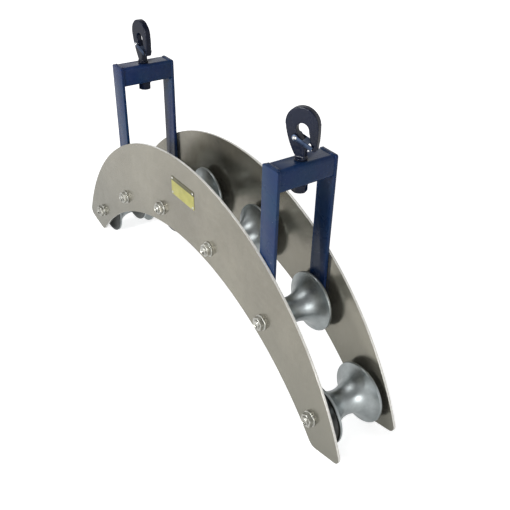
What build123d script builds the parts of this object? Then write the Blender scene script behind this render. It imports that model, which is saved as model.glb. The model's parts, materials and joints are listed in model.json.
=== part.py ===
"""Overhead-line stringing block: a curved train of six grooved rollers between two crescent side
plates, hung from two swivel hooks on pivoting hangers.

Millimetres, +Z up. X runs along the cable, Y across the rollers. The origin is on the ground under
the middle of the block, which stands on the four heels of its side plates.
"""
import math
import os

from build123d import *

# ---------------------------------------------------------------- driving dimensions
# roller train
axle_radius = 600.0            # circle through the six roller axles
axle_pitch = 18.0              # degrees between neighbouring axles
roller_count = 6
hanger_axles = (1, 4)          # axles that carry the hangers, counted from the near end

# side plates
plate_gap = 124.0              # between the plates' inner faces
plate_thickness = 5.0
edge_below_axles = 35.0        # axle circle to the inner edge, which is concentric with it
edge_above_crown = 135.0       # axle circle to the outer edge, over the middle of the block
edge_past_end = 31.0           # axle circle to the outer edge, where that meets the ground
axle_circle_drop = 364.5       # centre of the axle circle below the ground
end_slope = 14.0               # degrees, end edge rising from heel to toe
heel_round = 18.0
toe_round = 14.0

# rollers
rim_radius = 58.5
neck_radius = 25.5
groove_half_width = 43.5       # neck middle to the groove-side edge of the rim
rim_land = 5.5
hub_radius = 22.0
hub_half_length = 51.0
dish_depth = 9.0
rim_face_width = 5.0           # flat ring outside the dish
bore_clearance = 3.0           # cast bore beyond the distance sleeve

# bearings, two in each roller
bearing_outer_radius = 17.5
bearing_width = 11.0
bearing_recess = 1.0           # bearing face below the hub face
outer_ring_wall = 2.75
inner_ring_wall = 2.5
ball_radius = 2.9
ball_count = 8
race_clearance = 0.1
seal_thickness = 0.8
seal_lip_clearance = 0.1

# axles
axle_diameter = 16.0
axle_fit = 0.1                 # radial, in the plates, rings and sleeves
spacer_radius = 12.0
nut_across_flats = 24.0
nut_height = 8.0
washer_radius = 15.0
washer_thickness = 3.0
thread_proud = 3.0
thread_chamfer = 1.2

# hangers
leg_width = 42.0
leg_thickness = 6.0
leg_plate_clearance = 1.0
hanger_height = 305.0          # axle to the top of the beam
beam_height = 40.0
beam_depth = 40.0
beam_wall = 3.0
beam_corner = 7.0
leg_corner = 4.0
bush_wall = 2.0
bush_fit = 0.05                # radial running clearance
weld_leg = 4.0
sleeve_wall = 3.0

# swivel hooks
shank_radius = 8.0
shank_fit = 0.05               # radial running clearance in the swivel sleeve
swivel_play = 0.3              # axial
shoulder_radius = 11.0
shoulder_height = 4.0
hook_thickness = 12.0
hook_outer_radius = 28.5
hook_crown = 88.0              # beam top to the top of the hook
back_lean = 15.0               # degrees below level where the back leaves the crown's circle
back_belly = 3.0               # fullness of the back between the crown and the neck
bowl_radius = 11.0
bowl_offset = 1.5              # bowl centre from the shank axis
bowl_height = 51.0             # bowl centre above the beam top
tip_width = 8.0
tip_height = 19.0
tip_flare = 6.5                # tip's inner side outside the bowl's
tip_belly = 1.0
limb_width = 4.5               # latch pin to the throat side of the back limb
throat_step = 4.0              # seat of the latch below and outside the pin
hook_turns = (26.0, 3.0)       # degrees each hook is swivelled about Z, near hook first
swivel_nut_across = 24.0
swivel_nut_height = 14.0
thrust_washer_radius = 14.0
thrust_washer_thickness = 2.5
shank_proud = 2.0
roll_pin_radius = 2.0
roll_pin_sunk = 1.0            # both ends together, below the nut's flats

# hook latches
pin_across = -9.5              # latch pin from the shank axis
pin_height = 37.0              # latch pin above the beam top
pin_radius = 2.5
pin_head_radius = 3.8
pin_head_thickness = 1.6
pin_head_play = 0.2
latch_droop = 22.0             # degrees below level when it is shut
latch_gap = 2.2                # hook cheek to latch cheek, room for the spring
latch_sheet = 1.6
latch_eye_radius = 5.5
latch_web_start = 13.0         # pin to the near edge of the cross web
latch_web_end = 23.8           # the web stops short of the tip
latch_reach = 33.0             # pin to the end of the cheeks, which pass beside the tip
latch_pin_fit = 0.05
spring_wire = 1.4
spring_coil_radius = 3.6

# identification plate, left blank
tag_length = 86.0
tag_height = 39.0
tag_thickness = 0.8
tag_below_crown = 63.5         # tag centre below the highest point of the plate
tag_margin = 4.0
rivet_radius = 1.6
rivet_head_radius = 2.6
rivet_head_height = 1.4
rivet_head_taper = 30.0         # degrees

# ---------------------------------------------------------------- worked-out places
inner_edge_radius = axle_radius - edge_below_axles
crown_radius = axle_radius + edge_above_crown
# centre of the outer arc above the centre of the axle circle, from the two places it passes
outer_edge_rise = ((crown_radius**2 - (axle_radius + edge_past_end)**2)
                   / (2 * (crown_radius - axle_circle_drop)))
outer_edge_radius = crown_radius - outer_edge_rise
plate_inner = plate_gap / 2
plate_outer = plate_inner + plate_thickness
axle_shaft_radius = axle_diameter / 2
axle_hole_radius = axle_shaft_radius + axle_fit
inner_ring_radius = axle_hole_radius + inner_ring_wall
outer_ring_inner_radius = bearing_outer_radius - outer_ring_wall
ball_circle_radius = (inner_ring_radius + outer_ring_inner_radius) / 2
bearing_face = hub_half_length - bearing_recess
bearing_back = bearing_face - bearing_width
bearing_middle = (bearing_face + bearing_back) / 2
roller_bore_radius = inner_ring_radius + bore_clearance
rim_outer_face = groove_half_width + rim_land
groove_depth = rim_radius - neck_radius
groove_radius = (groove_half_width**2 + groove_depth**2) / (2 * groove_depth)
leg_outer_face = plate_inner - leg_plate_clearance
leg_inner_face = leg_outer_face - leg_thickness
bush_bore_radius = spacer_radius + bush_fit
bush_radius = bush_bore_radius + bush_wall
axle_half_length = plate_outer + washer_thickness + nut_height + thread_proud
sleeve_bore_radius = shank_radius + shank_fit
sleeve_radius = sleeve_bore_radius + sleeve_wall
hook_crown_centre = hook_crown - hook_outer_radius
latch_cheek_inner = hook_thickness / 2 + latch_gap
latch_cheek_outer = latch_cheek_inner + latch_sheet
tag_centre_height = crown_radius - axle_circle_drop - tag_below_crown


def axle_place(index):
    """X and Z of one axle; index 0 is at the near, +X end."""
    angle = math.radians(((roller_count - 1) / 2 - index) * axle_pitch)
    return axle_radius * math.sin(angle), axle_radius * math.cos(angle) - axle_circle_drop


axle_places = [axle_place(index) for index in range(roller_count)]
hanger_places = [axle_places[index] for index in hanger_axles]
axle_locations = [Location((x, 0, z)) for x, z in axle_places]

os.makedirs("parts", exist_ok=True)
nodes = {}


def keep(name, part):
    """Label one finished piece and hold it for export."""
    part.label = name
    nodes[name] = part


def ring(outer, inner, start, end):
    """Plain ring about the Y axis from start to end."""
    with BuildPart() as piece:
        with BuildSketch(Plane.XZ.offset(-end)):
            Circle(outer)
            Circle(inner, mode=Mode.SUBTRACT)
        extrude(amount=end - start)
    return piece.part


def at_places(single, places):
    """Copies of one piece at several locations, as separate solids in one part."""
    with BuildPart() as group:
        with Locations(*places):
            add(single)
    return group.part


def both_sides(part):
    """A piece and its mirror image across the XZ plane."""
    with BuildPart() as pair:
        add(part)
        mirror(part, about=Plane.XZ)
    return pair.part


# ---------------------------------------------------------------- side plates
def crescent(outer_face, direction):
    """One crescent plate: two arcs with different centres, cut off at the sloping ends."""
    heel_z = heel_round
    heel_x = math.sqrt((inner_edge_radius + heel_round)**2 - (heel_z + axle_circle_drop)**2)
    cut = 2 * outer_edge_radius
    with BuildPart() as plate:
        with BuildSketch(Plane.XZ.offset(-outer_face)) as outline:
            with Locations((0, outer_edge_rise - axle_circle_drop)):
                Circle(outer_edge_radius)
            with Locations((0, -axle_circle_drop)):
                Circle(inner_edge_radius, mode=Mode.SUBTRACT)
            for side in (-1, 1):
                # the end edge is tangent to the heel's rounding and rises towards the toe
                normal = math.radians(-90 + end_slope)
                edge_x = heel_x + heel_round * math.cos(normal)
                edge_z = heel_z + heel_round * math.sin(normal)
                with Locations(Location((side * edge_x, edge_z), side * end_slope)):
                    Rectangle(cut, cut, align=(Align.CENTER, Align.MAX), mode=Mode.SUBTRACT)
            toes = outline.vertices().sort_by(Axis.X)
            fillet([toes[0], toes[-1]], toe_round)
            heels = outline.vertices().sort_by(Axis.Y)
            fillet(heels[0:2], heel_round)
        extrude(amount=direction * plate_thickness)
        with Locations(*[Location((x, outer_face, z), (90, 0, 0)) for x, z in axle_places]):
            Hole(axle_hole_radius, depth=4 * plate_thickness)
    return plate.part


keep("side_plate_near", crescent(-plate_outer, -1))
keep("side_plate_far", crescent(plate_outer, 1))


# ---------------------------------------------------------------- axles and their fasteners
def axle_stud():
    with BuildPart() as stud:
        with BuildSketch(Plane.XZ.offset(-axle_half_length)):
            Circle(axle_shaft_radius)
        extrude(amount=2 * axle_half_length)
        chamfer(stud.edges().filter_by(GeomType.CIRCLE), thread_chamfer)
    return stud.part


def hex_nut(across_flats, height, bore, plane):
    """Hexagon nut standing on a plane."""
    with BuildPart() as nut:
        with BuildSketch(plane):
            RegularPolygon(across_flats / 2, 6, major_radius=False)
        extrude(amount=height)
        with BuildSketch(plane):
            Circle(bore)
        extrude(amount=height, mode=Mode.SUBTRACT)
    return nut.part


keep("axle_studs", at_places(axle_stud(), axle_locations))

nut_seat = plate_outer + washer_thickness
one_side_nut = hex_nut(nut_across_flats, nut_height, axle_shaft_radius, Plane.XZ.offset(nut_seat))
keep("axle_nuts", at_places(both_sides(one_side_nut), axle_locations))

one_side_washer = ring(washer_radius, axle_hole_radius, plate_outer, nut_seat)
keep("axle_washers", at_places(both_sides(one_side_washer), axle_locations))

one_side_spacer = ring(spacer_radius, axle_hole_radius, bearing_face, plate_inner)
keep("axle_spacers", at_places(both_sides(one_side_spacer), axle_locations))

distance_sleeve = ring(inner_ring_radius, axle_hole_radius, -bearing_back, bearing_back)
keep("distance_sleeves", at_places(distance_sleeve, axle_locations))


# ---------------------------------------------------------------- bearings
def race_ring(inner, outer):
    """Bearing ring with the ball track cut into it."""
    with BuildPart() as race:
        with BuildSketch(Plane.XY):
            with Locations(((inner + outer) / 2, bearing_middle)):
                Rectangle(outer - inner, bearing_width)
            with Locations((ball_circle_radius, bearing_middle)):
                Circle(ball_radius + race_clearance, mode=Mode.SUBTRACT)
        revolve(axis=Axis.Y)
    return race.part


def ball_set():
    with BuildPart() as balls:
        with Locations(Location((0, bearing_middle, 0), (90, 0, 0))):
            with PolarLocations(ball_circle_radius, ball_count):
                Sphere(ball_radius)
    return balls.part


def seal_pair():
    """The two seals of one bearing."""
    inner = inner_ring_radius + seal_lip_clearance
    outer_seal = ring(outer_ring_inner_radius, inner, bearing_face - seal_thickness, bearing_face)
    inner_seal = ring(outer_ring_inner_radius, inner, bearing_back, bearing_back + seal_thickness)
    with BuildPart() as seals:
        add(outer_seal)
        add(inner_seal)
    return seals.part


inner_race = both_sides(race_ring(axle_hole_radius, inner_ring_radius))
outer_race = both_sides(race_ring(outer_ring_inner_radius, bearing_outer_radius))
seal_set = both_sides(seal_pair())
keep("bearing_inner_rings", at_places(inner_race, axle_locations))
keep("bearing_balls", at_places(both_sides(ball_set()), axle_locations))


# ---------------------------------------------------------------- rollers
def roller_casting():
    """Hourglass casting about the Y axis, bored through, with a bearing seat in each hub."""
    with BuildPart() as roller:
        with BuildSketch(Plane.XY):
            with BuildLine():
                RadiusArc((neck_radius, 0), (rim_radius, groove_half_width), groove_radius)
                Polyline(
                    (rim_radius, groove_half_width),
                    (rim_radius, rim_outer_face),
                    (rim_radius - rim_face_width, rim_outer_face),
                    (hub_radius, rim_outer_face - dish_depth),
                    (hub_radius, hub_half_length),
                    (bearing_outer_radius, hub_half_length),
                    (bearing_outer_radius, bearing_back),
                    (roller_bore_radius, bearing_back),
                    (roller_bore_radius, 0),
                    (neck_radius, 0),
                )
            make_face()
        revolve(axis=Axis.Y)
        mirror(about=Plane.XZ)
    return roller.part


casting = roller_casting()
for index, place in enumerate(axle_locations):
    keep(f"roller_{index + 1}", casting.moved(place))
    keep(f"bearing_outer_rings_{index + 1}", outer_race.moved(place))
    keep(f"bearing_seals_{index + 1}", seal_set.moved(place))


# ---------------------------------------------------------------- hangers
def hanger_leg():
    """Far leg of a hanger, its eye round the axle at the origin."""
    with BuildPart() as leg:
        with BuildSketch(Plane.XZ.offset(-leg_outer_face)) as face:
            Circle(leg_width / 2)
            Rectangle(leg_width, hanger_height, align=(Align.CENTER, Align.MIN))
            fillet(face.vertices().sort_by(Axis.Y)[-2:], leg_corner)
            Circle(bush_radius, mode=Mode.SUBTRACT)
        extrude(amount=leg_thickness)
    return leg.part


def hanger_beam():
    """Square tube between the legs, pierced top and bottom for the swivel sleeve."""
    middle = hanger_height - beam_height / 2
    with BuildPart() as beam:
        with BuildSketch(Plane.XZ.offset(-leg_inner_face)):
            with Locations((0, middle)):
                RectangleRounded(beam_depth, beam_height, beam_corner)
                RectangleRounded(beam_depth - 2 * beam_wall, beam_height - 2 * beam_wall,
                                 beam_corner - beam_wall, mode=Mode.SUBTRACT)
        extrude(amount=2 * leg_inner_face)
        with BuildSketch(Plane.XY.offset(hanger_height - beam_height)):
            Circle(sleeve_radius)
        extrude(amount=beam_height, mode=Mode.SUBTRACT)
    return beam.part


def swivel_sleeve():
    with BuildPart() as sleeve:
        with BuildSketch(Plane.XY.offset(hanger_height - beam_height)):
            Circle(sleeve_radius)
            Circle(sleeve_bore_radius, mode=Mode.SUBTRACT)
        extrude(amount=beam_height)
    return sleeve.part


def under_weld():
    """Fillet weld along the underside of the beam, against the far leg."""
    under = hanger_height - beam_height
    length = beam_depth - 2 * beam_corner
    with BuildPart() as weld:
        with BuildSketch(Plane.YZ.offset(-length / 2)):
            with BuildLine():
                Polyline((leg_inner_face, under), (leg_inner_face - weld_leg, under),
                         (leg_inner_face, under - weld_leg), close=True)
            make_face()
        extrude(amount=length)
    return weld.part


legs = both_sides(hanger_leg())
beam = hanger_beam()
sleeve = swivel_sleeve()
bushes = both_sides(ring(bush_radius, bush_bore_radius, leg_inner_face, leg_outer_face))
welds = both_sides(under_weld())
sides = ("near", "far")
for side, (x, z) in zip(sides, hanger_places):
    place = Location((x, 0, z))
    keep(f"hanger_legs_{side}", legs.moved(place))
    keep(f"hanger_beam_{side}", beam.moved(place))
    keep(f"swivel_sleeve_{side}", sleeve.moved(place))
    keep(f"hanger_bushes_{side}", bushes.moved(place))
    keep(f"hanger_welds_{side}", welds.moved(place))


# ---------------------------------------------------------------- swivel hooks
# Made with the beam top at Z = 0 and the shank on the Z axis, the hook's throat towards +X.
thrust_top = -beam_height - swivel_play
swivel_nut_top = thrust_top - thrust_washer_thickness
shank_end = swivel_nut_top - swivel_nut_height - shank_proud


def hook_forging():
    """Back, crown, tapering tip, throat and neck of the hook, with its shoulder and shank."""
    crown_top = (0, hook_crown)
    front = (hook_outer_radius, hook_crown_centre)
    lean = math.radians(180 + back_lean)
    back = (hook_outer_radius * math.cos(lean),
            hook_crown_centre + hook_outer_radius * math.sin(lean))
    neck_left = (-shank_radius, shoulder_height)
    back_middle = ((back[0] + neck_left[0]) / 2 - back_belly, (back[1] + neck_left[1]) / 2)
    bowl_top = (bowl_offset, bowl_height + bowl_radius)
    bowl_front = (bowl_offset + bowl_radius, bowl_height)
    bowl_back = (bowl_offset - bowl_radius, bowl_height)
    limb_top = (pin_across + limb_width, pin_height + throat_step)
    limb_middle = ((limb_top[0] + bowl_back[0]) / 2 - tip_belly, (limb_top[1] + bowl_back[1]) / 2)
    limb_foot = (shank_radius - throat_step, pin_height - throat_step)
    throat_foot = (shank_radius, pin_height / 2)
    tip_inner = (bowl_front[0] + tip_flare, tip_height + tip_width / 2)
    tip_end = (tip_inner[0] + tip_width / 2, tip_height)
    tip_outer = (tip_inner[0] + tip_width, tip_height + tip_width / 2)
    tip_middle = ((tip_outer[0] + front[0]) / 2 + tip_belly, (tip_outer[1] + front[1]) / 2)
    with BuildPart() as hook:
        with BuildSketch(Plane.XZ.offset(-hook_thickness / 2)):
            with BuildLine():
                ThreePointArc(front, crown_top, back)
                ThreePointArc(back, back_middle, neck_left)
                Polyline(neck_left, (-shank_radius, swivel_play), (shank_radius, swivel_play),
                         throat_foot, limb_foot, limb_top)
                ThreePointArc(limb_top, limb_middle, bowl_back)
                ThreePointArc(bowl_back, bowl_top, bowl_front)
                Line(bowl_front, tip_inner)
                ThreePointArc(tip_inner, tip_end, tip_outer)
                ThreePointArc(tip_outer, tip_middle, front)
            make_face()
        extrude(amount=hook_thickness)
        with BuildSketch(Plane.XY.offset(swivel_play)):
            Circle(shoulder_radius)
        extrude(amount=shoulder_height)
        with BuildSketch(Plane.XY.offset(shank_end)):
            Circle(shank_radius)
        extrude(amount=swivel_play - shank_end)
    return hook.part


def latch():
    """Bent sheet latch: two cheeks beside the hook and a web that shuts the throat."""
    cheek_half_height = latch_eye_radius - latch_sheet
    with BuildPart() as gate:
        with BuildSketch(Plane.XZ.offset(-latch_cheek_outer)):
            Circle(latch_eye_radius)
            with Locations((latch_reach / 2, 0)):
                Rectangle(latch_reach, 2 * cheek_half_height)
        extrude(amount=2 * latch_cheek_outer)
        with BuildSketch(Plane.XZ.offset(-latch_cheek_inner)):
            Circle(2 * latch_reach)
        extrude(amount=2 * latch_cheek_inner, mode=Mode.SUBTRACT)
        with BuildSketch(Plane.XZ.offset(-latch_cheek_outer)):
            with Locations(((latch_web_start + latch_web_end) / 2, cheek_half_height)):
                Rectangle(latch_web_end - latch_web_start, latch_sheet,
                          align=(Align.CENTER, Align.MAX))
        extrude(amount=2 * latch_cheek_outer)
        with BuildSketch(Plane.XZ.offset(-latch_cheek_outer)):
            Circle(pin_radius + latch_pin_fit)
        extrude(amount=2 * latch_cheek_outer, mode=Mode.SUBTRACT)
    return gate.part


def latch_pin():
    head_face = latch_cheek_outer + pin_head_play
    with BuildPart() as pin:
        with BuildSketch(Plane.XZ.offset(-head_face - pin_head_thickness)):
            Circle(pin_head_radius)
        extrude(amount=pin_head_thickness)
        mirror(about=Plane.XZ)
        with BuildSketch(Plane.XZ.offset(-head_face)):
            Circle(pin_radius)
        extrude(amount=2 * head_face)
    return pin.part


def latch_spring():
    """One turn of spring wire round the pin in the gap beside each hook cheek."""
    middle = (hook_thickness / 2 + latch_cheek_inner) / 2
    with BuildPart() as coil:
        with BuildSketch(Plane.XY):
            with Locations((spring_coil_radius, middle)):
                Circle(spring_wire / 2)
        revolve(axis=Axis.Y)
    return both_sides(coil.part)


def roll_pin():
    length = swivel_nut_across - roll_pin_sunk
    with BuildPart() as pin:
        with BuildSketch(Plane.YZ.offset(-length / 2)):
            with Locations((0, swivel_nut_top - swivel_nut_height / 2)):
                Circle(roll_pin_radius)
                Circle(roll_pin_radius / 2, mode=Mode.SUBTRACT)
        extrude(amount=length)
    return pin.part


def drilled(part):
    """Cross hole for the roll pin through the nut and the shank end."""
    with BuildPart() as result:
        add(part)
        with Locations(Location((0, 0, swivel_nut_top - swivel_nut_height / 2), (0, 90, 0))):
            Cylinder(roll_pin_radius, 2 * swivel_nut_across, mode=Mode.SUBTRACT)
    return result.part


def drilled_for_latch(part):
    with BuildPart() as result:
        add(part)
        with Locations(Location((pin_across, 0, pin_height), (90, 0, 0))):
            Cylinder(pin_radius, 2 * hook_thickness, mode=Mode.SUBTRACT)
    return result.part


hook_piece = drilled_for_latch(drilled(hook_forging()))
swivel_nut = drilled(hex_nut(swivel_nut_across, swivel_nut_height, shank_radius,
                             Plane.XY.offset(swivel_nut_top - swivel_nut_height)))
with BuildPart() as thrust_washer:
    with BuildSketch(Plane.XY.offset(swivel_nut_top)):
        Circle(thrust_washer_radius)
        Circle(shank_radius, mode=Mode.SUBTRACT)
    extrude(amount=thrust_washer_thickness)
nut_roll_pin = roll_pin()
latch_place = Location((pin_across, 0, pin_height))
shut = latch_place * Location((0, 0, 0), (0, latch_droop, 0))
latch_piece = latch()
latch_pin_piece = latch_pin()
spring_piece = latch_spring()

for side, (x, z), turn in zip(sides, hanger_places, hook_turns):
    place = Location((x, 0, z + hanger_height), (0, 0, turn))
    keep(f"hook_{side}", hook_piece.moved(place))
    keep(f"swivel_nut_{side}", swivel_nut.moved(place))
    keep(f"thrust_washer_{side}", thrust_washer.part.moved(place))
    keep(f"roll_pin_{side}", nut_roll_pin.moved(place))
    keep(f"latch_{side}", latch_piece.moved(place * shut))
    keep(f"latch_pin_{side}", latch_pin_piece.moved(place * latch_place))
    keep(f"latch_springs_{side}", spring_piece.moved(place * latch_place))


# ---------------------------------------------------------------- identification plate
tag_face = plate_outer + tag_thickness
rivet_across = tag_length / 2 - tag_margin
rivet_up = tag_height / 2 - tag_margin
with BuildPart() as tag:
    with BuildSketch(Plane.XZ.offset(plate_outer)):
        with Locations((0, tag_centre_height)):
            RectangleRounded(tag_length, tag_height, tag_margin / 2)
            with GridLocations(2 * rivet_across, 2 * rivet_up, 2, 2):
                Circle(rivet_radius, mode=Mode.SUBTRACT)
    extrude(amount=tag_thickness)
keep("tag_plate", tag.part)

with BuildPart() as rivets:
    with BuildSketch(Plane.XZ.offset(plate_outer)):
        with Locations((0, tag_centre_height)):
            with GridLocations(2 * rivet_across, 2 * rivet_up, 2, 2):
                Circle(rivet_radius)
    extrude(amount=tag_thickness)
    with BuildSketch(Plane.XZ.offset(tag_face)):
        with Locations((0, tag_centre_height)):
            with GridLocations(2 * rivet_across, 2 * rivet_up, 2, 2):
                Circle(rivet_head_radius)
    extrude(amount=rivet_head_height, taper=rivet_head_taper)
keep("tag_rivets", rivets.part)


# ---------------------------------------------------------------- export
for name, part in nodes.items():
    export_step(part, f"parts/{name}.step")
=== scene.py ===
"""Looks of the stringing block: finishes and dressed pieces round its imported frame, in metres."""
import json
import math
import random

import bpy
from mathutils import Matrix, Vector


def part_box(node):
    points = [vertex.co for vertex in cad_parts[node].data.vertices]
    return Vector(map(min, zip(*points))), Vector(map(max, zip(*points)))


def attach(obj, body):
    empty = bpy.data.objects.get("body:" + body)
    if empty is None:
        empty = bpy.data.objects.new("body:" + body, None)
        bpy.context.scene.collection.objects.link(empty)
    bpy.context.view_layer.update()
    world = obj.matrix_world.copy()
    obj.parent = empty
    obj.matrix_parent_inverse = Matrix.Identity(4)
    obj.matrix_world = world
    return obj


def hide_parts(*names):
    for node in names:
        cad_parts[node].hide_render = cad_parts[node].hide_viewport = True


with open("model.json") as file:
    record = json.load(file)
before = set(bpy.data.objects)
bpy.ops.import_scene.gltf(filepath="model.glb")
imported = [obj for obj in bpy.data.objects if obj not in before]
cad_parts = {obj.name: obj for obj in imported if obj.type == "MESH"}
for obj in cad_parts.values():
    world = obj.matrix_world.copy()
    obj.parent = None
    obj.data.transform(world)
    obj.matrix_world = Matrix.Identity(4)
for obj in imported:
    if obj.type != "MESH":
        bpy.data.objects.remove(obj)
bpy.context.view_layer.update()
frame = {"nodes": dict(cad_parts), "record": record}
nodes = frame["nodes"]
MM = 0.001

# ---------------------------------------------------------------- sizes taken from the frame
# a size named after a round thing, such as STUD or RIM, is its radius
JOINTS = {joint["name"]: joint for joint in frame["record"]["behaviour"]["joints"]}
AXLES = [Vector(JOINTS[f"roller_spin_{index}"]["pos_m"]) for index in range(1, 7)]
SIDES = ("near", "far")
SWIVELS = {side: Vector(JOINTS[f"hook_swivel_{side}"]["pos_m"]) for side in SIDES}
LATCH_PINS = {side: Vector(JOINTS[f"latch_hinge_{side}"]["pos_m"]) for side in SIDES}
PLATE_OUTER = abs(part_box("side_plate_near")[0][1])
STUD_END = abs(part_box("axle_studs")[0][1])
NUT_TOP = abs(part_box("axle_nuts")[0][1])
NUT_SEAT = abs(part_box("axle_washers")[0][1])
LAST_AXLE = max(axle.x for axle in AXLES)
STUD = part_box("axle_studs")[1][0] - LAST_AXLE
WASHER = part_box("axle_washers")[1][0] - LAST_AXLE
RIM = (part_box("roller_1")[1][0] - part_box("roller_1")[0][0]) / 2
HUB_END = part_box("roller_1")[1][1]


# ---------------------------------------------------------------- modelling helpers
DOUBLES = 0.01 * MM            # corners nearer than this are one
FLAT = 0.6                     # degrees; faces turned less than this are one flat
UNTURNED = Matrix.Identity(4)


def deselect():
    """Leave edit mode and select nothing."""
    if bpy.context.object and bpy.context.object.mode != "OBJECT":
        bpy.ops.object.mode_set(mode="OBJECT")
    bpy.ops.object.select_all(action="DESELECT")


def only(piece):
    """Select one piece and make it active."""
    deselect()
    piece.select_set(True)
    bpy.context.view_layer.objects.active = piece


def settle(piece):
    """Put the object's place into its mesh, so that it sits at the origin."""
    only(piece)
    bpy.ops.object.transform_apply(location=True, rotation=True, scale=True)


def move_mesh(piece, place, turn=UNTURNED):
    """Turn a mesh about the origin, then move it to its place."""
    piece.data.transform(Matrix.Translation(place) @ turn)


def named(name):
    """The piece just made, with its name."""
    piece = bpy.context.object
    piece.name = piece.data.name = name
    return piece


def edit(piece):
    """Edit one piece with all its corners selected."""
    only(piece)
    bpy.ops.object.mode_set(mode="EDIT")
    bpy.ops.mesh.select_mode(type="VERT")
    bpy.ops.mesh.select_all(action="SELECT")


def outward(piece):
    """Merge doubles and turn every face outwards."""
    edit(piece)
    bpy.ops.mesh.remove_doubles(threshold=DOUBLES)
    bpy.ops.mesh.normals_make_consistent(inside=False)
    bpy.ops.object.mode_set(mode="OBJECT")


def smooth(piece, degrees=35.0):
    """Shade smooth across every edge flatter than the angle."""
    only(piece)
    bpy.ops.object.shade_smooth_by_angle(angle=math.radians(degrees))


def apply_all(piece):
    """Apply the piece's modifiers in turn."""
    only(piece)
    for modifier in list(piece.modifiers):
        bpy.ops.object.modifier_apply(modifier=modifier.name)


def bevel(piece, width, segments=2, degrees=30.0):
    """Round every edge sharper than the angle."""
    edge = piece.modifiers.new("edge", "BEVEL")
    edge.width = width
    edge.segments = segments
    edge.limit_method = "ANGLE"
    edge.angle_limit = math.radians(degrees)
    apply_all(piece)


def drawn(points, name):
    """A line drawn point by point."""
    deselect()
    bpy.ops.mesh.primitive_plane_add(size=MM, location=points[0])
    piece = named(name)
    settle(piece)
    edit(piece)
    bpy.ops.mesh.merge(type="CENTER")
    for before, after in zip(points, points[1:]):
        move = Vector(after) - Vector(before)
        bpy.ops.mesh.extrude_vertices_move(TRANSFORM_OT_translate={"value": move})
    bpy.ops.object.mode_set(mode="OBJECT")
    return piece


def lathe(profile, axis, name, steps=64):
    """A closed outline of (radius, place along the axis), spun round the Y or Z axis."""
    outline = [(radius, along, 0) if axis == "Y" else (radius, 0, along)
               for radius, along in (*profile, profile[0])]
    piece = drawn(outline, name)
    edit(piece)
    bpy.ops.mesh.remove_doubles(threshold=DOUBLES)
    bpy.ops.mesh.spin(steps=steps, angle=math.tau, center=(0, 0, 0),
                      axis=(0, 1, 0) if axis == "Y" else (0, 0, 1))
    bpy.ops.object.mode_set(mode="OBJECT")
    outward(piece)
    return piece


def keep_common(piece, tool):
    """Keep what the piece shares with a tool, and delete the tool."""
    cut = piece.modifiers.new("common", "BOOLEAN")
    cut.object = tool
    cut.operation = "INTERSECT"
    cut.solver = "EXACT"
    apply_all(piece)
    remove(tool)


def copy_of(node, name):
    """A loose copy of a frame node with its doubles merged and its flats made whole."""
    piece = duplicate(nodes[node], UNTURNED)
    piece.name = piece.data.name = name
    piece.data.materials.clear()
    piece.parent = None
    edit(piece)
    bpy.ops.mesh.remove_doubles(threshold=DOUBLES)
    bpy.ops.mesh.dissolve_limited(angle_limit=math.radians(FLAT))
    bpy.ops.object.mode_set(mode="OBJECT")
    return piece


def duplicate(piece, matrix):
    """A copy with its own mesh, moved by a matrix that is put into the mesh."""
    twin = piece.copy()
    twin.data = piece.data.copy()
    bpy.context.scene.collection.objects.link(twin)
    twin.data.transform(matrix)
    return twin


def joined(pieces, name):
    """Several pieces as one."""
    deselect()
    for piece in pieces:
        piece.select_set(True)
    bpy.context.view_layer.objects.active = pieces[0]
    bpy.ops.object.join()
    return named(name)


def remove(piece):
    """Take a piece out of the scene."""
    bpy.data.objects.remove(piece, do_unlink=True)


def give(piece, material, body, replaced):
    """Give a piece its finish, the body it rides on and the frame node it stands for."""
    piece.data.materials.clear()
    piece.data.materials.append(material)
    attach(piece, body)
    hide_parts(replaced)


def paint(node, material):
    """Give a frame node its finish."""
    nodes[node].data.materials.clear()
    nodes[node].data.materials.append(material)


# ---------------------------------------------------------------- node helpers
WHITE = (1.0, 1.0, 1.0)


class Graph:
    """A node tree, built from short calls."""

    def __init__(self, tree):
        self.tree = tree

    def node(self, kind, **values):
        """A new node with its inputs or its own settings."""
        made = self.tree.nodes.new(kind)
        for key, value in values.items():
            if key in made.inputs:
                made.inputs[key].default_value = value
            else:
                setattr(made, key, value)
        return made

    def feed(self, socket, value):
        """Put a number, a colour or another node's output into a socket."""
        if isinstance(value, (int, float)):
            socket.default_value = value
        elif isinstance(value, tuple):
            socket.default_value = (*value, 1.0)
        else:
            self.tree.links.new(value, socket)

    def span(self, value, low, high, to_low=0.0, to_high=1.0, ease="LINEAR"):
        """The value's range from low to high, stretched over another range."""
        made = self.node("ShaderNodeMapRange", interpolation_type=ease)
        ends = {"From Min": low, "From Max": high, "To Min": to_low, "To Max": to_high, "Value": value}
        for socket, end in ends.items():
            self.feed(made.inputs[socket], end)
        return made.outputs["Result"]

    def math(self, operation, *values):
        """The result of one sum on numbers or other nodes' outputs."""
        made = self.node("ShaderNodeMath", operation=operation)
        for socket, value in zip(made.inputs, values):
            self.feed(socket, value)
        return made.outputs[0]

    def axis(self, name, coordinates="Object"):
        """One axis of a place, a normal or a direction."""
        made = self.node("ShaderNodeSeparateXYZ")
        self.feed(made.inputs[0], self.node("ShaderNodeTexCoord").outputs[coordinates])
        return made.outputs[name]

    def seen(self, mirrored=1.0):
        """1 for rays from the camera or through glass, a share for mirrored ones, 0 for diffuse ones."""
        path = self.node("ShaderNodeLightPath")
        reflected = self.math("MULTIPLY", path.outputs["Is Glossy Ray"], mirrored)
        opaque = self.math("MAXIMUM", path.outputs["Is Camera Ray"], reflected)
        return self.math("MAXIMUM", opaque, path.outputs["Is Transmission Ray"])


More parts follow.
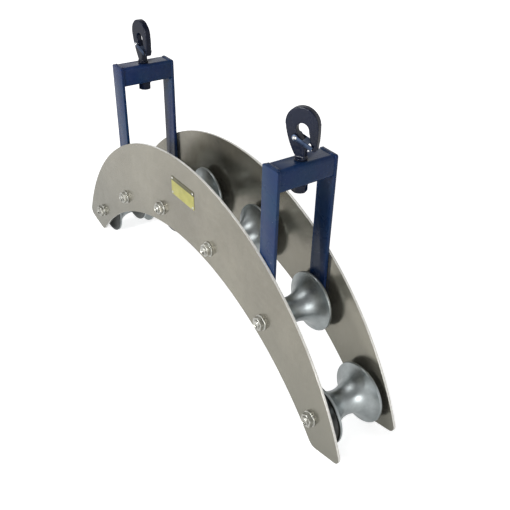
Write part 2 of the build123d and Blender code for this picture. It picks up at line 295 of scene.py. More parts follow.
class Finish(Graph):
    """The node tree of one material."""

    SOCKETS = {"colour": "Base Color", "metal": "Metallic", "rough": "Roughness",
               "specular": "Specular IOR Level", "normal": "Normal",
               "glow": "Emission Color", "glow_strength": "Emission Strength"}

    def __init__(self, name):
        self.material = bpy.data.materials.new(name)
        self.material.use_nodes = True
        super().__init__(self.material.node_tree)
        self.shader = self.tree.nodes["Principled BSDF"]
        self.place = self.node("ShaderNodeTexCoord").outputs["Object"]

    def noise(self, scale, detail=3.0, rough=0.55, where=None):
        """Cloudy noise, from 0 to 1."""
        made = self.node("ShaderNodeTexNoise", Scale=scale, Detail=detail, Roughness=rough)
        self.feed(made.inputs["Vector"], where or self.place)
        return made.outputs["Fac"]

    def streaks(self, stretch, detail=2.0, rough=0.5):
        """Noise drawn out along an axis: the stretch is its scale on X, Y and Z."""
        mapping = self.node("ShaderNodeMapping", Scale=stretch)
        self.feed(mapping.inputs["Vector"], self.place)
        return self.noise(1.0, detail, rough, where=mapping.outputs["Vector"])

    def patches(self, scale, low, high, detail=3.0, rough=0.55):
        """Patches of noise: 0 up to the low value, 1 from the high value on."""
        return self.span(self.noise(scale, detail, rough), low, high)

    def drift(self, scale, low, high, detail=3.0):
        """A value that drifts between two others."""
        return self.span(self.noise(scale, detail), 0.3, 0.7, to_low=low, to_high=high)

    def spangle(self, scale):
        """A grey of its own for each crystal."""
        crystals = self.node("ShaderNodeTexVoronoi", Scale=scale)
        self.feed(crystals.inputs["Vector"], self.place)
        grey = self.node("ShaderNodeSeparateColor")
        self.feed(grey.inputs[0], crystals.outputs["Color"])
        return grey.outputs[0]

    def mix(self, factor, first, second):
        """Blend from the first colour to the second."""
        made = self.node("ShaderNodeMix", data_type="RGBA")
        wanted = {("Factor", "VALUE"): factor, ("A", "RGBA"): first, ("B", "RGBA"): second}
        for name, value in wanted.items():
            self.feed(next(s for s in made.inputs if (s.name, s.type) == name), value)
        return next(s for s in made.outputs if s.type == "RGBA")

    def wash(self, colour, mask, strength, tint):
        """Lay a tint over a colour where the mask says, at a strength."""
        return self.mix(self.math("MULTIPLY", mask, strength), colour, tint)

    def bump(self, height, strength, distance, under=None):
        """Relief from a height, on top of another relief."""
        made = self.node("ShaderNodeBump", Strength=strength, Distance=distance)
        self.feed(made.inputs["Height"], height)
        if under:
            self.feed(made.inputs["Normal"], under)
        return made.outputs["Normal"]

    def set(self, **values):
        """Fill the shader's sockets and hand over the material."""
        for key, value in values.items():
            self.feed(self.shader.inputs[self.SOCKETS[key]], value)
        return self.material


def srgb(red, green, blue):
    """Linear colour of an sRGB colour given in 0 to 255."""
    def linear(value):
        share = value / 255
        return share / 12.92 if share <= 0.04045 else ((share + 0.055) / 1.055) ** 2.4
    return linear(red), linear(green), linear(blue)


# ---------------------------------------------------------------- finishes
def galvanised_plate():
    """Dull galvanised sheet: soft blotches, faint spangle, handling marks, painted shade low down and a
    painted highlight on the sheared edges.
    """
    f = Finish("galvanised_plate")
    blotch = f.patches(5.0, low=0.35, high=0.65, detail=4.0, rough=0.6)
    face = f.mix(blotch, srgb(138, 134, 122), srgb(158, 154, 140))
    streak = f.span(f.streaks((60, 60, 9), detail=3.0, rough=0.6), low=0.45, high=0.75)
    face = f.wash(face, streak, 0.30, srgb(138, 135, 124))
    face = f.wash(face, f.spangle(140.0), 0.10, srgb(186, 184, 176))
    scratch = f.span(f.streaks((14, 14, 420)), low=0.66, high=0.74)
    face = f.wash(face, scratch, 0.30, srgb(182, 180, 172))
    # painted shade: the plate's colour is darkened towards the bottom, by up to 0.6 at its foot, to dim
    # its low parts
    low_painted_shade = f.span(f.axis("Z"), low=0.24, high=0.0, to_high=0.6)
    face = f.mix(low_painted_shade, face, srgb(112, 113, 105))
    # painted highlight: faces seen edge-on, the sheared edges, are painted near-white and made less
    # metallic; noise breaks this painted highlight into lengths
    edge = f.span(f.math("ABSOLUTE", f.axis("Y", "Normal")), low=0.9, high=0.5)
    highlight_breakup = f.span(f.noise(260.0, detail=2.0), low=0.35, high=0.65, to_low=0.75)
    colour = f.mix(f.math("MULTIPLY", edge, highlight_breakup), face, srgb(248, 247, 241))
    normal = f.bump(f.noise(3.2, detail=2.0), strength=0.25, distance=0.004)
    normal = f.bump(f.noise(420.0, detail=2.0), strength=0.10, distance=0.0003, under=normal)
    return f.set(colour=colour, metal=f.span(edge, 0.0, 1.0, to_low=0.75, to_high=0.20),
                 rough=f.drift(38.0, low=0.17, high=0.27), normal=normal)


def cast_aluminium():
    """Aluminium casting: fine tool rings in the turned groove, painted shade on the dished ends that
    face the plates.
    """
    f = Finish("cast_aluminium")
    cloud = f.patches(26.0, low=0.35, high=0.68, detail=4.0, rough=0.6)
    colour = f.mix(cloud, srgb(152, 158, 159), srgb(184, 190, 190))
    pit = f.patches(520.0, low=0.66, high=0.74, detail=2.0, rough=0.5)
    colour = f.wash(colour, pit, 0.45, srgb(96, 99, 101))
    # painted shade: the end faces that look out towards the side plates are painted dark, for the shade
    # in the gap between roller and plate
    outwards = f.math("MULTIPLY", f.axis("Y"), f.axis("Y", "Normal"))
    colour = f.mix(f.span(outwards, low=0.004, high=0.016), colour, srgb(72, 76, 75))
    normal = f.bump(f.streaks((8, 900, 8)), strength=0.12, distance=0.0003)
    normal = f.bump(f.noise(300.0), strength=0.14, distance=0.0004, under=normal)
    return f.set(colour=colour, metal=0.92, rough=f.drift(60.0, low=0.31, high=0.43), normal=normal)


def zinc_fastener():
    """Zinc plating on studs, nuts and washers, slightly clouded and stained."""
    f = Finish("zinc_fastener")
    colour = f.mix(f.patches(180.0, low=0.3, high=0.7), srgb(160, 159, 152), srgb(204, 204, 198))
    colour = f.wash(colour, f.patches(45.0, low=0.58, high=0.72), 0.5, srgb(112, 104, 88))
    return f.set(colour=colour, metal=0.9, rough=f.drift(220.0, low=0.28, high=0.46, detail=2.0),
                 normal=f.bump(f.noise(700.0, detail=2.0), strength=0.10, distance=0.0002))


def turned_metal(name, stretch, dark, light, metal, rough, strength, distance):
    """Turned steel with fine rings along the Y axis."""
    f = Finish(name)
    rings = f.streaks(stretch)
    colour = f.mix(f.span(rings, low=0.3, high=0.7), dark, light)
    return f.set(colour=colour, metal=metal, rough=rough, normal=f.bump(rings, strength, distance))


def seal_rubber():
    """Black rubber of the bearing seals, a little dusty."""
    f = Finish("seal_rubber")
    dust = f.patches(240.0, low=0.45, high=0.8)
    return f.set(colour=f.wash(srgb(22, 22, 23), dust, 0.4, srgb(70, 68, 64)), rough=0.7,
                 normal=f.bump(f.noise(900.0, detail=2.0), strength=0.2, distance=0.0002))


def enamel(name, base, light, worn, chips, gloss, dusty):
    """Brushed-on gloss enamel over steel: sag and orange peel, chips that show the primer."""
    f = Finish(name)
    colour = f.mix(f.patches(9.0, low=0.32, high=0.70, rough=0.6), base, light)
    chip = f.patches(150.0, low=0.705, high=0.725, detail=5.0, rough=0.7)
    patch = f.patches(14.0, low=0.52, high=0.66, detail=2.0)
    colour = f.wash(colour, f.math("MULTIPLY", chip, patch), chips, worn)
    dust = f.patches(70.0, low=0.50, high=0.85, detail=4.0)
    colour = f.wash(colour, dust, dusty, srgb(150, 156, 166))
    normal = f.bump(f.noise(210.0, detail=2.0), strength=0.10, distance=0.0005)
    normal = f.bump(f.noise(12.0, detail=2.0), strength=0.12, distance=0.0020, under=normal)
    return f.set(colour=colour, rough=f.drift(24.0, low=0.20, high=0.34), normal=normal,
                 specular=gloss)


def bronze_bush():
    """Plain bronze of the bushes in the hangers' eyes."""
    f = Finish("bronze_bush")
    colour = f.mix(f.patches(160.0, low=0.3, high=0.7), srgb(140, 104, 58), srgb(180, 140, 84))
    return f.set(colour=colour, metal=0.9, rough=0.38)


def bright_metal(name, dark, light, smoothest, roughest):
    """Clean metal with a faint cloud in its colour and gloss."""
    f = Finish(name)
    return f.set(colour=f.mix(f.patches(130.0, low=0.3, high=0.7), dark, light), metal=0.95,
                 rough=f.drift(260.0, low=smoothest, high=roughest, detail=2.0),
                 normal=f.bump(f.noise(600.0, detail=2.0), strength=0.08, distance=0.0002))


def yellow_tag(strip_foot):
    """Blank yellow plate with a dark strip along its top edge, faded and rubbed."""
    f = Finish("yellow_tag")
    blur = 0.2 * MM
    fade = f.patches(40.0, low=0.3, high=0.7, detail=4.0, rough=0.6)
    field = f.mix(fade, srgb(152, 148, 74), srgb(178, 174, 102))
    strip = f.mix(fade, srgb(70, 68, 44), srgb(92, 89, 60))
    colour = f.mix(f.span(f.axis("Z"), strip_foot - blur, strip_foot + blur), field, strip)
    rub = f.patches(210.0, low=0.62, high=0.72, detail=4.0, rough=0.7)
    return f.set(colour=f.wash(colour, rub, 0.35, srgb(170, 168, 140)), rough=0.42,
                 normal=f.bump(f.noise(120.0, detail=2.0), strength=0.12, distance=0.0004))


plate_finish = galvanised_plate()
roller_finish = cast_aluminium()
zinc = zinc_fastener()
turned = turned_metal("turned_steel", stretch=(6, 1400, 6), dark=srgb(128, 127, 124),
                      light=srgb(160, 159, 156), metal=0.95, rough=0.34, strength=0.15,
                      distance=0.0002)
race = turned_metal("bearing_steel", stretch=(5, 2400, 5), dark=srgb(176, 177, 180),
                    light=srgb(204, 205, 208), metal=1.0, rough=0.16, strength=0.05,
                    distance=0.0001)
rubber = seal_rubber()
blue = enamel("blue_paint", base=srgb(25, 42, 86), light=srgb(26, 56, 86),
              worn=srgb(120, 124, 130), chips=0.30, gloss=0.18, dusty=0.04)
navy = enamel("navy_forging", base=srgb(3, 10, 28), light=srgb(9, 21, 46),
              worn=srgb(120, 126, 136), chips=0.5, gloss=0.24, dusty=0.0)
bronze = bronze_bush()
spring = bright_metal("spring_steel", dark=srgb(186, 187, 186), light=srgb(226, 227, 226),
                      smoothest=0.14, roughest=0.26)
sheet = bright_metal("latch_sheet", dark=srgb(52, 64, 86), light=srgb(74, 88, 112),
                     smoothest=0.30, roughest=0.44)
rivet = bright_metal("rivet_aluminium", dark=srgb(168, 168, 164), light=srgb(210, 210, 206),
                     smoothest=0.26, roughest=0.40)


# ---------------------------------------------------------------- side plates
PLATE_EDGE = 0.5 * MM


def dress_plate(node):
    """Crescent plate with softly broken edges."""
    piece = copy_of(node, f"{node}_sheet")
    bevel(piece, PLATE_EDGE)
    smooth(piece, degrees=18.0)
    give(piece, plate_finish, "frame", node)


# ---------------------------------------------------------------- rollers
NECK = 25.5 * MM
RIM_ROUND = 1.2 * MM
RIM_FACE = 49.0 * MM
GROOVE_HALF = 43.5 * MM
GROOVE_STEPS = 18
DISH_TOP = 53.5 * MM
DISH_LIP = 0.5 * MM
DISH_FLOOR = 41.1 * MM         # lowest, at the foot of the hub's flare
DISH_FLOOR_RISE = 0.1 * MM
DISH_FLOOR_WIDTH = 5.0 * MM    # out from the hub
HUB = 22.0 * MM
HUB_EDGE = 1.0 * MM
HUB_FLARE = 2.0 * MM
HUB_FLARE_RISE = 1.9 * MM
SEAT = 17.5 * MM
SEAT_EDGE = 0.5 * MM
SEAT_FLOOR = 39.0 * MM
BORE = 13.6 * MM


def groove_line():
    """Arc of the groove from the neck to the rounded inner edge of the rim."""
    depth = RIM - NECK
    sweep = (GROOVE_HALF**2 + depth**2) / (2 * depth)
    end = math.asin((GROOVE_HALF - RIM_ROUND) / sweep)
    turns = [end * step / GROOVE_STEPS for step in range(GROOVE_STEPS + 1)]
    return [(NECK + sweep * (1 - math.cos(turn)), sweep * math.sin(turn)) for turn in turns]


def rim_line():
    """The rim with both its edges rounded."""
    return [(RIM - RIM_ROUND * 0.35, GROOVE_HALF - RIM_ROUND * 0.1),
            (RIM, GROOVE_HALF + RIM_ROUND),
            (RIM, RIM_FACE - RIM_ROUND),
            (RIM - RIM_ROUND * 0.3, RIM_FACE - RIM_ROUND * 0.3),
            (RIM - RIM_ROUND, RIM_FACE)]


def dish_line():
    """The dished end, from the rim's face down to the foot of the hub."""
    return [(DISH_TOP + DISH_LIP, RIM_FACE),
            (DISH_TOP - DISH_LIP, RIM_FACE - DISH_LIP * 0.8),
            (HUB + DISH_FLOOR_WIDTH, DISH_FLOOR + DISH_FLOOR_RISE),
            (HUB + HUB_FLARE, DISH_FLOOR),
            (HUB, DISH_FLOOR + HUB_FLARE_RISE)]


def hub_line():
    """The hub's end, and the bearing seat down to the bore."""
    return [(HUB, HUB_END - HUB_EDGE),
            (HUB - HUB_EDGE, HUB_END),
            (SEAT + SEAT_EDGE, HUB_END),
            (SEAT, HUB_END - SEAT_EDGE),
            (SEAT, SEAT_FLOOR),
            (BORE, SEAT_FLOOR)]


def turned_roller():
    """Hourglass roller round the Y axis: groove, rounded rim, dished end, hub and bearing seat."""
    half = groove_line() + rim_line() + dish_line() + hub_line()
    other_half = [(radius, -along) for radius, along in reversed(half[1:])]
    piece = lathe(other_half + half, "Y", "roller_blank", steps=96)
    smooth(piece, degrees=32.0)
    return piece


def dress_rollers():
    """Six castings on their axles, with the bearings' outer parts."""
    blank = turned_roller()
    for index, axle in enumerate(AXLES, 1):
        piece = duplicate(blank, Matrix.Translation(axle))
        piece.name = piece.data.name = f"roller_casting_{index}"
        give(piece, roller_finish, f"roller_body_{index}", f"roller_{index}")
        paint(f"bearing_outer_rings_{index}", race)
        paint(f"bearing_seals_{index}", rubber)
    remove(blank)


# ---------------------------------------------------------------- axle fasteners
THREAD_PITCH = 2.0 * MM
THREAD_DEPTH = 1.1 * MM
THREAD_CREST = (0.42, 0.55)    # where the crest begins and ends, as shares of the pitch
THREAD_FOOT = 0.97             # where the flank is down again, as a share of the pitch
THREAD_TURNS = 7
THREAD_STEPS = 40
THREAD_START = 3               # turns cut off at the foot, where the helix isn't whole all round
THREAD_IN_NUT = 1.0 * MM
NUT_ACROSS = 24.0 * MM
NUT_FACE = 0.96                # turned face, as a share of the size across flats
NUT_TURN_DOWN = 0.5            # slope of the turned-down corners
NUT_SINK = 0.8 * MM
NUT_EDGE = 0.3 * MM
NUT_CORNER = 0.999             # reach of the hexagon's corners, as a share of the turned blank's
WASHER_EDGE = 0.4 * MM
SHAFT_CORE = 0.5 * MM          # left open on the axis, so that no faces meet in a point


def hex_nut(height, bore, name):
    """Nut on the XY plane: a turned blank cut to a hexagon, its corners turned down."""
    corner = NUT_ACROSS / math.sqrt(3)
    face = NUT_ACROSS / 2 * NUT_FACE
    drop = (corner - face) * NUT_TURN_DOWN
    mouth = bore + NUT_SINK
    blank = lathe([(mouth, 0), (face, 0), (corner, drop), (corner, height - drop), (face, height),
                   (mouth, height), (bore, height - NUT_SINK), (bore, NUT_SINK)],
                  "Z", name, steps=96)
    deselect()
    bpy.ops.mesh.primitive_cylinder_add(vertices=6, radius=corner * NUT_CORNER, depth=height * 2)
    keep_common(blank, named("hexagon"))
    bevel(blank, NUT_EDGE, degrees=25.0)
    smooth(blank, degrees=25.0)
    return blank


def flat_washer(height, radius, bore, name):
    """Washer on the XY plane; its foot is sharp at the bore, where it sits on its seat."""
    edge = WASHER_EDGE
    piece = lathe([(bore, 0), (radius - edge, 0), (radius, edge), (radius, height - edge),
                   (radius - edge, height), (bore + edge, height), (bore, height - edge)],
                  "Z", name)
    smooth(piece, degrees=50.0)
    return piece


def thread_helix(name):
    """One thread's outline, screwed up the Z axis."""
    root = STUD - THREAD_DEPTH
    outline = ((root, 0.0), (STUD, THREAD_CREST[0]), (STUD, THREAD_CREST[1]), (root, THREAD_FOOT),
               (root, 1.0))
    thread = drawn([(radius, 0, THREAD_PITCH * share) for radius, share in outline], name)
    helix = thread.modifiers.new("helix", "SCREW")
    helix.axis = "Z"
    helix.screw_offset = THREAD_PITCH
    helix.iterations = THREAD_TURNS
    helix.steps = helix.render_steps = THREAD_STEPS
    helix.use_merge_vertices = True
    apply_all(thread)
    return thread


def threaded_end(name):
    """Screwed end of a stud on the Z axis, from just inside the nut to its flat tip."""
    thread = thread_helix(name)
    foot = THREAD_START * THREAD_PITCH
    tip = foot + STUD_END - NUT_TOP + THREAD_IN_NUT
    for height, direction in ((foot, -1), (tip, 1)):
        edit(thread)
        bpy.ops.mesh.bisect(plane_co=(0, 0, height), plane_no=(0, 0, direction), use_fill=True,
                            clear_outer=True)
        bpy.ops.object.mode_set(mode="OBJECT")
    outward(thread)
    move_mesh(thread, (0, 0, STUD_END - tip))
    smooth(thread, degrees=30.0)
    return thread


def plain_shaft(name):
    """Shank of a stud along the Y axis, between the tops of its two nuts."""
    piece = lathe([(SHAFT_CORE, -NUT_TOP), (STUD, -NUT_TOP), (STUD, NUT_TOP), (SHAFT_CORE, NUT_TOP)],
                  "Y", name)
    smooth(piece, degrees=50.0)
    return piece


TO_SIDES = {side: Matrix.Rotation(math.radians(-90 * side), 4, "X") for side in (-1, 1)}


def at_axles(single, name, turned_by=0.0):
    """Copies of a piece that stands on +Z, set on both sides of every axle."""
    copies = []
    for axle in AXLES:
        for side in (-1, 1):
            turn = Matrix.Rotation(random.uniform(-turned_by, turned_by), 4, "Z")
            copies.append(duplicate(single, Matrix.Translation(axle) @ TO_SIDES[side] @ turn))
    remove(single)
    return joined(copies, name)


def dress_fasteners():
    """Nuts, washers and threaded studs at both ends of every axle."""
    nut = hex_nut(NUT_TOP - NUT_SEAT, STUD, "nut_blank")
    move_mesh(nut, (0, 0, NUT_SEAT))
    nuts = at_axles(nut, "axle_hex_nuts", turned_by=math.pi)
    give(nuts, zinc, "frame", "axle_nuts")
    ring = flat_washer(NUT_SEAT - PLATE_OUTER, WASHER, STUD, "washer_blank")
    move_mesh(ring, (0, 0, PLATE_OUTER))
    rings = at_axles(ring, "axle_flat_washers")
    give(rings, zinc, "frame", "axle_washers")
    ends = at_axles(threaded_end("thread_blank"), "axle_stud_threads")
    shaft = plain_shaft("shaft_blank")
    shafts = [duplicate(shaft, Matrix.Translation(axle)) for axle in AXLES]
    remove(shaft)
    rods = joined([*shafts, ends], "axle_rods")
    give(rods, zinc, "frame", "axle_studs")
    paint("axle_spacers", turned)
    paint("distance_sleeves", turned)
    paint("bearing_inner_rings", race)
    paint("bearing_balls", race)


# ---------------------------------------------------------------- hangers
HANGER_EDGES = {"legs": 0.7 * MM, "beam": 0.5 * MM}
BEAD_PITCH = 1.9 * MM
BEAD = Vector((2.4 * MM, 3.6 * MM, 3.6 * MM))
TOP_BEAD = Vector((2.4 * MM, 4.2 * MM, 1.5 * MM))
RIPPLE_SIZES = (0.9, 1.08)
RIPPLE_TURNS = (0, 1)          # radians


def weld_ripple(place, size):
    """One ripple of a weld, turned and sized a little by chance."""
    deselect()
    bpy.ops.mesh.primitive_ico_sphere_add(subdivisions=2, radius=1, location=place,
                                          rotation=(0, 0, random.uniform(*RIPPLE_TURNS)))
    ripple = named("ripple")
    ripple.scale = size * random.uniform(*RIPPLE_SIZES)
    settle(ripple)
    return ripple


def weld_bead(side):
    """Overlapping weld ripples along both legs, under the beam and across its top."""
    low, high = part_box(f"hanger_welds_{side}")
    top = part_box(f"hanger_beam_{side}")[1][2]
    count = round((high[0] - low[0]) / BEAD_PITCH)
    ripples = []
    for leg in (low[1], high[1]):
        for height, size in ((high[2], BEAD), (top, TOP_BEAD)):
            for step in range(count + 1):
                along = low[0] + (high[0] - low[0]) * step / count
                ripples.append(weld_ripple((along, leg, height), size))
    bead = joined(ripples, f"hanger_bead_{side}")
    smooth(bead, degrees=50.0)
    return bead


def dress_hanger(side):
    """Painted legs, beam and weld beads, with the bare sleeve and bushes."""
    body = f"hanger_{side}"
    for part, edge in HANGER_EDGES.items():
        piece = copy_of(f"hanger_{part}_{side}", f"hanger_{part}_painted_{side}")
        bevel(piece, edge, segments=3)
        smooth(piece)
        give(piece, blue, body, f"hanger_{part}_{side}")
    give(weld_bead(side), blue, body, f"hanger_welds_{side}")
    paint(f"swivel_sleeve_{side}", turned)
    paint(f"hanger_bushes_{side}", bronze)


# ---------------------------------------------------------------- swivel hooks
FORGING_GRAIN = 0.8 * MM
FORGING_PASSES = 14


def hook_turn(side):
    """How far a hook is swivelled about Z at rest, read from its latch hinge."""
    axis = Vector(JOINTS[f"latch_hinge_{side}"]["axis"])
    return Matrix.Rotation(-math.atan2(-axis.x, -axis.y), 4, "Z")


def rounded_forging(side):
    """The hook with its edges flowing into each other, as drop-forged and dressed."""
    piece = copy_of(f"hook_{side}", f"hook_forging_{side}")
    skin = piece.modifiers.new("skin", "REMESH")
    skin.mode = "VOXEL"
    skin.voxel_size = FORGING_GRAIN
    flow = piece.modifiers.new("flow", "SMOOTH")
    flow.factor = 0.5
    flow.iterations = FORGING_PASSES
    apply_all(piece)
    smooth(piece, degrees=60.0)
    return piece


def dress_hook(side):
    """Forged hook with the nut and the washer of its swivel."""
    body = f"swivel_hook_{side}"
    swivel = SWIVELS[side]
    give(rounded_forging(side), navy, body, f"hook_{side}")
    low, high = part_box(f"swivel_nut_{side}")
    nut = hex_nut(high[2] - low[2], STUD, f"swivel_hex_nut_{side}")
    move_mesh(nut, (swivel.x, swivel.y, low[2]), hook_turn(side))
    give(nut, navy, body, f"swivel_nut_{side}")
    low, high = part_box(f"thrust_washer_{side}")
    ring = flat_washer(high[2] - low[2], (high[0] - low[0]) / 2, STUD, f"swivel_washer_{side}")
    move_mesh(ring, (swivel.x, swivel.y, low[2]))
    give(ring, navy, body, f"thrust_washer_{side}")
    paint(f"roll_pin_{side}", spring)


# ---------------------------------------------------------------- latches
LATCH_EDGE = 0.3 * MM
PIN = 2.5 * MM
PIN_HALF = 11.6 * MM
PIN_HEAD = 3.8 * MM
PIN_HEAD_SEAT = 10.0 * MM      # where the head begins, from the pin's middle
PIN_CORE = 0.3 * MM            # left open on the axis, so that no faces meet in a point
WIRE = 0.55 * MM
COIL = 3.6 * MM
COIL_TURNS = 1.75
COIL_STEPS = 12                # points to a turn
COIL_PITCH = 1.035 * MM
COIL_MIDDLE = 7.1 * MM         # place along the pin after COIL_MIDDLE_TURN turns
COIL_MIDDLE_TURN = 0.9
FIRST_LEAD = Vector((0, 0, -3.2 * MM))
LAST_LEAD = Vector((2.4 * MM, 0, 0.6 * MM))


def latch_rivet(name):
    """Pin along the Y axis with a domed head at each end."""
    half = [(PIN_CORE, PIN_HALF), (PIN_HEAD * 0.5, PIN_HALF * 0.985),
            (PIN_HEAD * 0.85, PIN_HALF * 0.94), (PIN_HEAD, PIN_HEAD_SEAT), (PIN, PIN_HEAD_SEAT)]
    other_half = [(radius, -along) for radius, along in reversed(half)]
    piece = lathe(half + other_half, "Y", name, steps=32)
    smooth(piece, degrees=50.0)
    return piece


def coil_route(cheek):
    """Points along one coil's wire round the Y axis: a lead, the turns and a second lead."""
    route = []
    for step in range(round(COIL_TURNS * COIL_STEPS) + 1):
        turns = step / COIL_STEPS
        along = cheek * COIL_MIDDLE + (turns - COIL_MIDDLE_TURN) * COIL_PITCH
        angle = math.tau * turns
        route.append(Vector((COIL * math.cos(angle), along, COIL * math.sin(angle))))
    first, last = route[0], route[-1]
    return [first + FIRST_LEAD * 2, first + FIRST_LEAD, *route, last + LAST_LEAD, last + LAST_LEAD * 2]


def coil(cheek):
    """One coil of round wire."""
    deselect()
    bpy.ops.curve.primitive_nurbs_path_add()
    wire = named("coil").data
    line = wire.splines[0]
    route = coil_route(cheek)
    line.points.add(len(route) - len(line.points))
    for point, spot in zip(line.points, route):
        point.co = (*spot, 1.0)
    line.use_endpoint_u = True
    line.order_u = 4
    wire.bevel_depth = WIRE
    wire.bevel_resolution = 3
    wire.resolution_u = 4
    wire.use_fill_caps = True
    bpy.ops.object.convert(target="MESH")
    return bpy.context.object


def torsion_spring(name):
    """Two coils of wire round the latch pin, one in each gap beside the hook."""
    piece = joined([coil(cheek) for cheek in (-1, 1)], name)
    settle(piece)
    smooth(piece, degrees=60.0)
    return piece


def dress_latch(side):
    """Sheet latch, and its rivet and spring, which stay on the hook."""
    body = f"swivel_hook_{side}"
    piece = copy_of(f"latch_{side}", f"latch_sheet_{side}")
    bevel(piece, LATCH_EDGE)
    smooth(piece)
    give(piece, sheet, f"hook_latch_{side}", f"latch_{side}")
    pin = latch_rivet(f"latch_rivet_{side}")
    move_mesh(pin, LATCH_PINS[side], hook_turn(side))
    give(pin, spring, body, f"latch_pin_{side}")
    coils = torsion_spring(f"latch_torsion_springs_{side}")
    move_mesh(coils, LATCH_PINS[side], hook_turn(side))
    give(coils, spring, body, f"latch_springs_{side}")


# ---------------------------------------------------------------- identification plate
TAG_EDGE = 0.15 * MM
TAG_STRIP = 9.0 * MM
TAG_INSET = 4.0 * MM
DOME = 2.6 * MM
DOME_RISE = 1.4 * MM
DOME_FOOT = 0.1 * MM
DOME_CORE = 0.05 * MM          # left open on the axis, so that no faces meet in a point


def rivet_dome(name):
    """Domed rivet head on the XY plane."""
    return lathe([(DOME_CORE, DOME_RISE), (DOME * 0.45, DOME_RISE * 0.9),
                  (DOME * 0.8, DOME_RISE * 0.58), (DOME, DOME_FOOT), (DOME, 0), (DOME_CORE, 0)],
                 "Z", name, steps=32)


def dress_tag():
    """Yellow plate with a rivet in each corner."""
    low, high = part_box("tag_plate")
    piece = copy_of("tag_plate", "tag_sheet")
    bevel(piece, TAG_EDGE)
    smooth(piece)
    give(piece, yellow_tag(high[2] - TAG_STRIP), "frame", "tag_plate")
    dome = rivet_dome("dome")
    domes = []
    for x in (low[0] + TAG_INSET, high[0] - TAG_INSET):
        for z in (low[2] + TAG_INSET, high[2] - TAG_INSET):
            domes.append(duplicate(dome, Matrix.Translation((x, low[1], z)) @ TO_SIDES[-1]))
    remove(dome)
    domes = joined(domes, "tag_rivet_domes")
    smooth(domes, degrees=50.0)
    give(domes, rivet, "frame", "tag_rivets")


# ---------------------------------------------------------------- the dressed block
random.seed(7)
for side in SIDES:
    dress_plate(f"side_plate_{side}")
dress_rollers()
dress_fasteners()
for side in SIDES:
    dress_hanger(side)
    dress_hook(side)
    dress_latch(side)
dress_tag()


# ---------------------------------------------------------------- camera
CAMERA_PLACE = (1.0352, -0.6292, 0.9511)
CAMERA_AZIMUTH = 52.64         # degrees
CAMERA_ELEVATION = 33.94
CAMERA_ROLL = 2.52
LENS = 48.17                   # millimetres, on a sensor 36 wide
SENSOR = 36
SHIFT = (-0.036, 0.00235)


def set_camera():
    """Camera above the near end and beside it, rolled a little about its line of sight."""
    azimuth, elevation, roll = map(math.radians, (CAMERA_AZIMUTH, CAMERA_ELEVATION, CAMERA_ROLL))
    back = Vector((math.sin(azimuth) * math.cos(elevation),
                   -math.cos(azimuth) * math.cos(elevation), math.sin(elevation)))
    level = Vector((0, 0, 1)).cross(back).normalized()
    upright = back.cross(level)
    right = math.cos(roll) * level + math.sin(roll) * upright
    up = math.cos(roll) * upright - math.sin(roll) * level
    turn = Matrix((right, up, back)).transposed().to_4x4()
    deselect()
    bpy.ops.object.camera_add()
    camera = named("camera")
    camera.matrix_world = Matrix.Translation(CAMERA_PLACE) @ turn
    camera.data.lens = LENS
    camera.data.sensor_width = SENSOR
    camera.data.shift_x, camera.data.shift_y = SHIFT
    bpy.context.scene.camera = camera


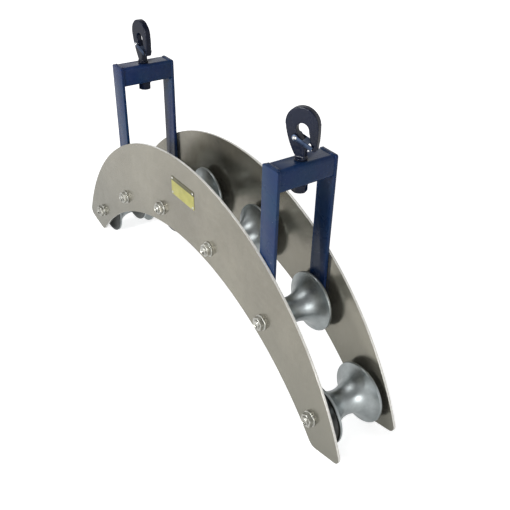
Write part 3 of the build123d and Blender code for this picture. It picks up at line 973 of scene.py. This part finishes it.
# ---------------------------------------------------------------- light, floor and backdrop
LAMPS = {
    "key": {"place": (0.30, -2.35, 0.95), "target": (0.0, 0.0, 0.2), "size": 0.40, "power": 44},
    "fill": {"place": (2.5, -0.7, 0.8), "target": (0.1, 0.0, 0.2), "size": 1.0, "power": 20},
    "top": {"place": (-0.6, -0.4, 2.8), "target": (0.0, 0.0, 0.2), "size": 1.2, "power": 19},
}
AIR_LIGHT = 0.14               # light that the air gives, not what is seen of it
CEILING = 0.30                 # brightness of the air seen overhead, as a share of the sides'
CEILING_RISE = (0.30, 0.75)    # sine of the elevation where it starts to dim and where it ends
FLOOR_SIZE = 14
FLOOR_GREY = (0.80, 0.80, 0.80)
FLOOR_GLOW = (0.72, 1.0)       # at the block and far from it
FLOOR_FADE = (0.35, 1.5)       # metres from the middle
FLOOR_MIRRORED = 0.5           # share of the glow that the block's metal mirrors


def area_light(name, place, target, size, power):
    """Square lamp that faces its target."""
    deselect()
    bpy.ops.object.light_add(type="AREA", location=place)
    lamp = named(name)
    lamp.rotation_euler = (Vector(target) - Vector(place)).to_track_quat("-Z", "Y").to_euler()
    lamp.data.size = size
    lamp.data.energy = power


def set_world():
    """Weak white light all round; what is seen of it is bright at the sides and dim overhead."""
    world = bpy.data.worlds.new("studio")
    world.use_nodes = True
    air = Graph(world.node_tree)
    light = air.tree.nodes["Background"]
    air.feed(light.inputs["Color"], WHITE)
    air.feed(light.inputs["Strength"], AIR_LIGHT)
    backdrop = air.node("ShaderNodeBackground")
    air.feed(backdrop.inputs["Color"], WHITE)
    dimming = air.span(air.axis("Z", "Generated"), *CEILING_RISE, to_low=1.0, to_high=CEILING)
    air.feed(backdrop.inputs["Strength"], dimming)
    either = air.node("ShaderNodeMixShader")
    for socket, value in zip(either.inputs, (air.seen(), light.outputs[0], backdrop.outputs[0])):
        air.feed(socket, value)
    air.feed(air.tree.nodes["World Output"].inputs["Surface"], either.outputs[0])
    bpy.context.scene.world = world


def studio_paper():
    """White paper that glows more with the distance, and keeps the block's shadow."""
    paper = Finish("studio_paper")
    reach = paper.node("ShaderNodeVectorMath", operation="LENGTH")
    paper.feed(reach.inputs[0], paper.place)
    glow = paper.span(reach.outputs["Value"], *FLOOR_FADE, *FLOOR_GLOW, ease="SMOOTHSTEP")
    return paper.set(colour=FLOOR_GREY, rough=1.0, specular=0.0, glow=WHITE,
                     glow_strength=paper.math("MULTIPLY", paper.seen(FLOOR_MIRRORED), glow))


def set_floor():
    """Pale floor that keeps the shadow and reads as white paper."""
    deselect()
    bpy.ops.mesh.primitive_plane_add(size=FLOOR_SIZE)
    floor = named("studio_floor")
    floor.data.materials.append(studio_paper())


set_camera()
for name, lamp in LAMPS.items():
    area_light(name, **lamp)
set_world()
set_floor()
bpy.context.scene.view_settings.view_transform = "Standard"
